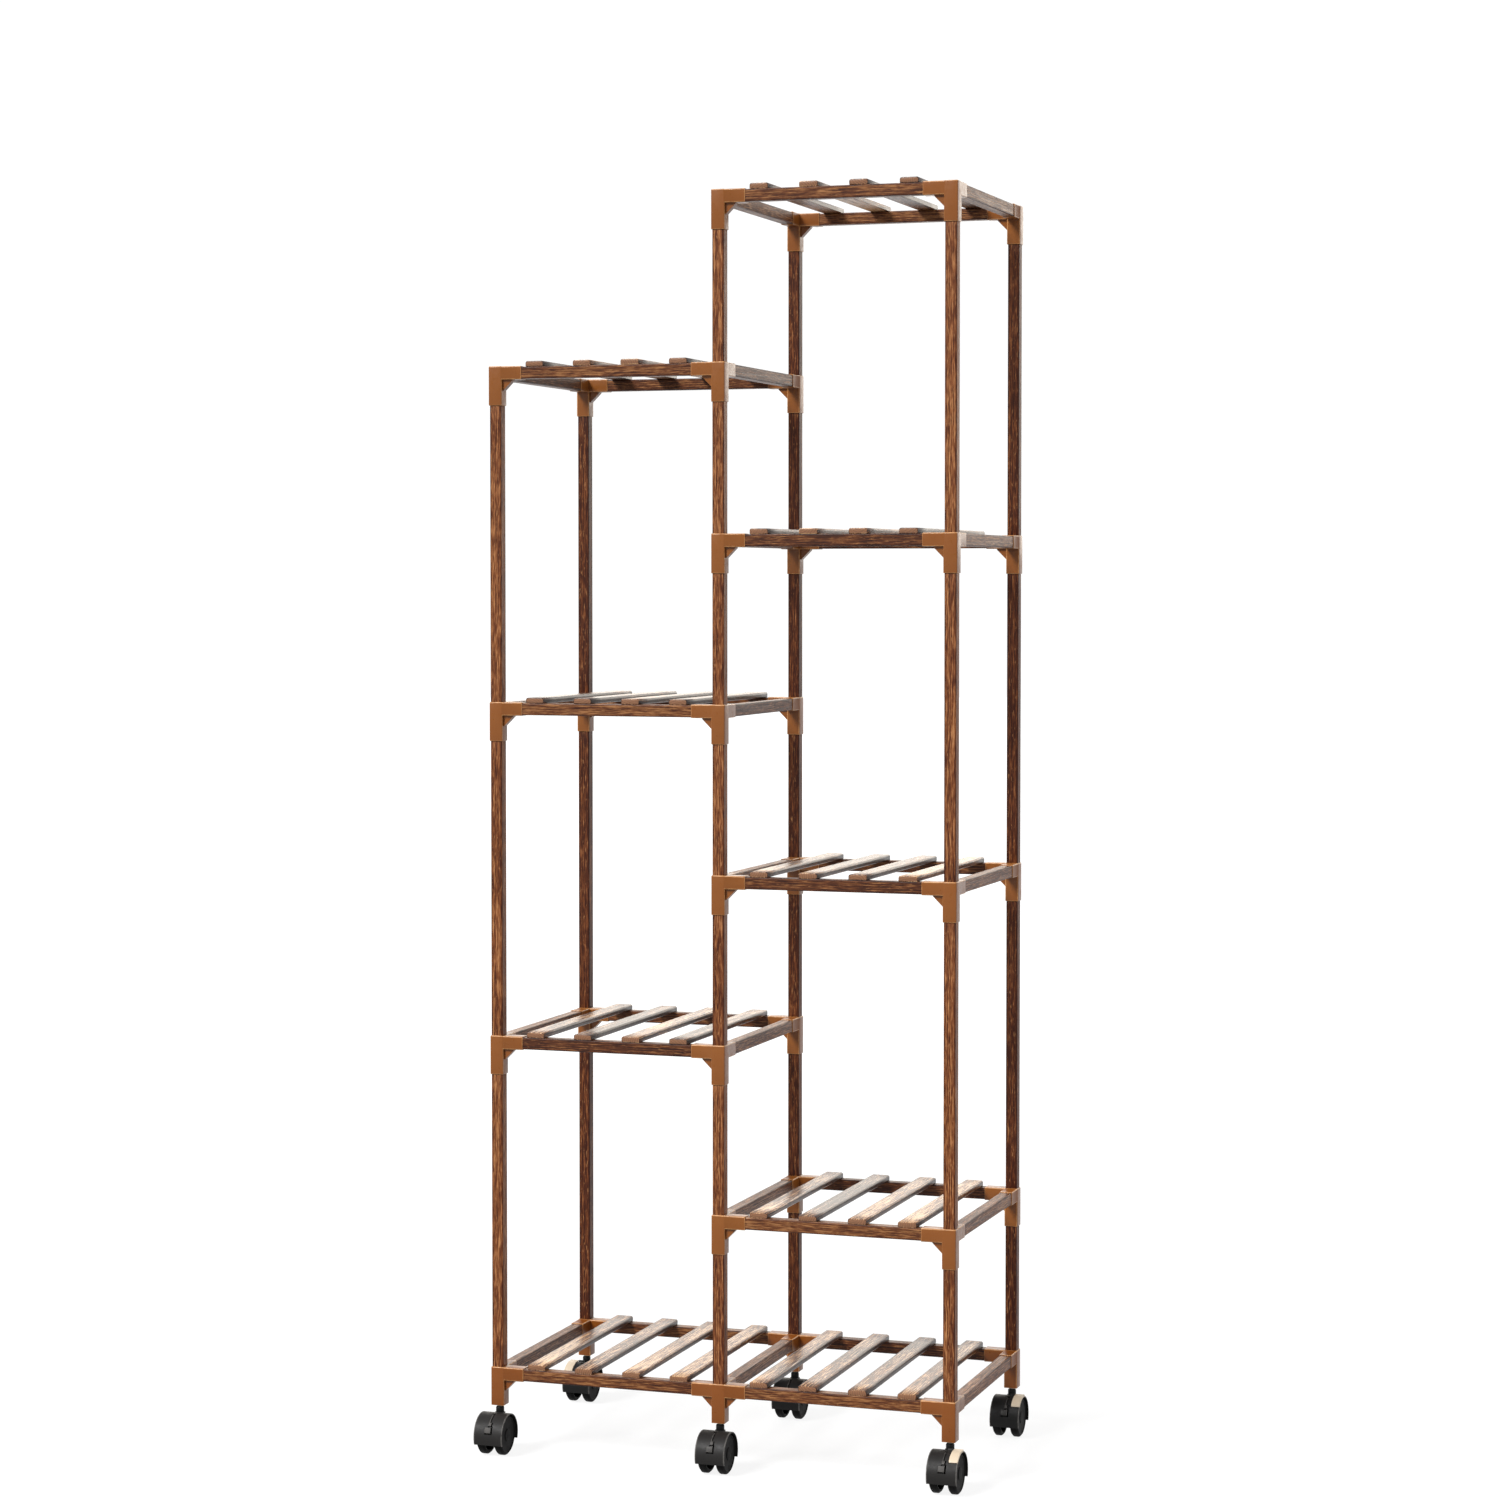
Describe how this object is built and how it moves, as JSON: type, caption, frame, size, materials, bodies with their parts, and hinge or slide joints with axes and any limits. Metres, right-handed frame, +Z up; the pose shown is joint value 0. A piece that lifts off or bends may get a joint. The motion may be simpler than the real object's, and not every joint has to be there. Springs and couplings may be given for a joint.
{
  "type": "rolling tiered plant stand",
  "caption": "Tall rolling plant stand: two staggered columns of slatted wood shelves on square posts with moulded corner connectors and twin-wheel casters.",
  "frame": {"origin": "on the floor, below the middle of the overall box, halfway along the width and the depth", "axes": "+X along the width, towards the taller column; the front faces -Y; +Z is up"},
  "size_m": [0.6284, 0.353, 1.5848],
  "materials": {
    "post_wood": "satin",
    "rail_wood": "satin",
    "slat_wood": "satin",
    "connector_plastic": "satin",
    "plug_plastic": "matte",
    "hood_plastic": "satin",
    "wheel_nylon": "matte",
    "stem_steel": "satin",
    "fastener_steel": "satin",
    "lever_plastic": "satin"
  },
  "bodies": {
    "frame": {"post_front_left": "post_wood", "post_front_middle": "post_wood", "post_front_right": "post_wood", "post_back_left": "post_wood", "post_back_middle": "post_wood", "post_back_right": "post_wood", "rails_left_1": "rail_wood", "rails_left_2": "rail_wood", "rails_left_3": "rail_wood", "rails_left_4": "rail_wood", "rails_right_1": "rail_wood", "rails_right_2": "rail_wood", "rails_right_3": "rail_wood", "rails_right_4": "rail_wood", "rails_right_5": "rail_wood", "slats_left_1": "slat_wood", "slats_left_2": "slat_wood", "slats_left_3": "slat_wood", "slats_left_4": "slat_wood", "slats_right_1": "slat_wood", "slats_right_2": "slat_wood", "slats_right_3": "slat_wood", "slats_right_4": "slat_wood", "slats_right_5": "slat_wood", "connectors_left": "connector_plastic", "connectors_middle": "connector_plastic", "connectors_right": "connector_plastic", "slat_nails": "fastener_steel", "caster_plugs": "plug_plastic", "caster_stems": "stem_steel"},
    "front_left_swivel": {"front_left_hood": "hood_plastic", "front_left_axle": "stem_steel"},
    "front_left_left_wheel": {"front_left_left_wheel": "wheel_nylon"},
    "front_left_right_wheel": {"front_left_right_wheel": "wheel_nylon"},
    "front_middle_swivel": {"front_middle_hood": "hood_plastic", "front_middle_axle": "stem_steel"},
    "front_middle_left_wheel": {"front_middle_left_wheel": "wheel_nylon"},
    "front_middle_right_wheel": {"front_middle_right_wheel": "wheel_nylon"},
    "front_right_swivel": {"front_right_hood": "hood_plastic", "front_right_axle": "stem_steel", "front_right_lever_pin": "stem_steel"},
    "front_right_left_wheel": {"front_right_left_wheel": "wheel_nylon"},
    "front_right_right_wheel": {"front_right_right_wheel": "wheel_nylon"},
    "front_right_brake_lever": {"front_right_brake_lever": "lever_plastic"},
    "back_left_swivel": {"back_left_hood": "hood_plastic", "back_left_axle": "stem_steel", "back_left_lever_pin": "stem_steel"},
    "back_left_left_wheel": {"back_left_left_wheel": "wheel_nylon"},
    "back_left_right_wheel": {"back_left_right_wheel": "wheel_nylon"},
    "back_left_brake_lever": {"back_left_brake_lever": "lever_plastic"},
    "back_middle_swivel": {"back_middle_hood": "hood_plastic", "back_middle_axle": "stem_steel"},
    "back_middle_left_wheel": {"back_middle_left_wheel": "wheel_nylon"},
    "back_middle_right_wheel": {"back_middle_right_wheel": "wheel_nylon"},
    "back_right_swivel": {"back_right_hood": "hood_plastic", "back_right_axle": "stem_steel", "back_right_lever_pin": "stem_steel"},
    "back_right_left_wheel": {"back_right_left_wheel": "wheel_nylon"},
    "back_right_right_wheel": {"back_right_right_wheel": "wheel_nylon"},
    "back_right_brake_lever": {"back_right_brake_lever": "lever_plastic"}
  },
  "joints": [
    {"name": "front_left_swivel", "type": "hinge", "parent": "frame", "child": "front_left_swivel", "pos_m": [-0.295, -0.1351, 0.05], "axis": [0, 0, 1], "continuous": true},
    {"name": "front_left_left_wheel_roll", "type": "hinge", "parent": "front_left_swivel", "child": "front_left_left_wheel", "pos_m": [-0.295, -0.1495, 0.025], "axis": [1, 0, 0], "continuous": true},
    {"name": "front_left_right_wheel_roll", "type": "hinge", "parent": "front_left_swivel", "child": "front_left_right_wheel", "pos_m": [-0.295, -0.1495, 0.025], "axis": [1, 0, 0], "continuous": true},
    {"name": "front_middle_swivel", "type": "hinge", "parent": "frame", "child": "front_middle_swivel", "pos_m": [0, -0.1351, 0.05], "axis": [0, 0, 1], "continuous": true},
    {"name": "front_middle_left_wheel_roll", "type": "hinge", "parent": "front_middle_swivel", "child": "front_middle_left_wheel", "pos_m": [0, -0.1495, 0.025], "axis": [1, 0, 0], "continuous": true},
    {"name": "front_middle_right_wheel_roll", "type": "hinge", "parent": "front_middle_swivel", "child": "front_middle_right_wheel", "pos_m": [0, -0.1495, 0.025], "axis": [1, 0, 0], "continuous": true},
    {"name": "front_right_swivel", "type": "hinge", "parent": "frame", "child": "front_right_swivel", "pos_m": [0.295, -0.1351, 0.05], "axis": [0, 0, 1], "continuous": true},
    {"name": "front_right_left_wheel_roll", "type": "hinge", "parent": "front_right_swivel", "child": "front_right_left_wheel", "pos_m": [0.295, -0.1495, 0.025], "axis": [1, 0, 0], "continuous": true},
    {"name": "front_right_right_wheel_roll", "type": "hinge", "parent": "front_right_swivel", "child": "front_right_right_wheel", "pos_m": [0.295, -0.1495, 0.025], "axis": [1, 0, 0], "continuous": true},
    {"name": "front_right_brake", "type": "hinge", "parent": "front_right_swivel", "child": "front_right_brake_lever", "pos_m": [0.295, -0.14479, 0.05169], "axis": [-1, 0, 0], "range_deg": [0, 18]},
    {"name": "back_left_swivel", "type": "hinge", "parent": "frame", "child": "back_left_swivel", "pos_m": [-0.295, 0.1639, 0.05], "axis": [0, 0, 1], "continuous": true},
    {"name": "back_left_left_wheel_roll", "type": "hinge", "parent": "back_left_swivel", "child": "back_left_left_wheel", "pos_m": [-0.295, 0.1495, 0.025], "axis": [1, 0, 0], "continuous": true},
    {"name": "back_left_right_wheel_roll", "type": "hinge", "parent": "back_left_swivel", "child": "back_left_right_wheel", "pos_m": [-0.295, 0.1495, 0.025], "axis": [1, 0, 0], "continuous": true},
    {"name": "back_left_brake", "type": "hinge", "parent": "back_left_swivel", "child": "back_left_brake_lever", "pos_m": [-0.295, 0.15421, 0.05169], "axis": [-1, 0, 0], "range_deg": [0, 18]},
    {"name": "back_middle_swivel", "type": "hinge", "parent": "frame", "child": "back_middle_swivel", "pos_m": [0, 0.1639, 0.05], "axis": [0, 0, 1], "continuous": true},
    {"name": "back_middle_left_wheel_roll", "type": "hinge", "parent": "back_middle_swivel", "child": "back_middle_left_wheel", "pos_m": [0, 0.1495, 0.025], "axis": [1, 0, 0], "continuous": true},
    {"name": "back_middle_right_wheel_roll", "type": "hinge", "parent": "back_middle_swivel", "child": "back_middle_right_wheel", "pos_m": [0, 0.1495, 0.025], "axis": [1, 0, 0], "continuous": true},
    {"name": "back_right_swivel", "type": "hinge", "parent": "frame", "child": "back_right_swivel", "pos_m": [0.295, 0.1639, 0.05], "axis": [0, 0, 1], "continuous": true},
    {"name": "back_right_left_wheel_roll", "type": "hinge", "parent": "back_right_swivel", "child": "back_right_left_wheel", "pos_m": [0.295, 0.1495, 0.025], "axis": [1, 0, 0], "continuous": true},
    {"name": "back_right_right_wheel_roll", "type": "hinge", "parent": "back_right_swivel", "child": "back_right_right_wheel", "pos_m": [0.295, 0.1495, 0.025], "axis": [1, 0, 0], "continuous": true},
    {"name": "back_right_brake", "type": "hinge", "parent": "back_right_swivel", "child": "back_right_brake_lever", "pos_m": [0.295, 0.15421, 0.05169], "axis": [-1, 0, 0], "range_deg": [0, 18]}
  ]
}
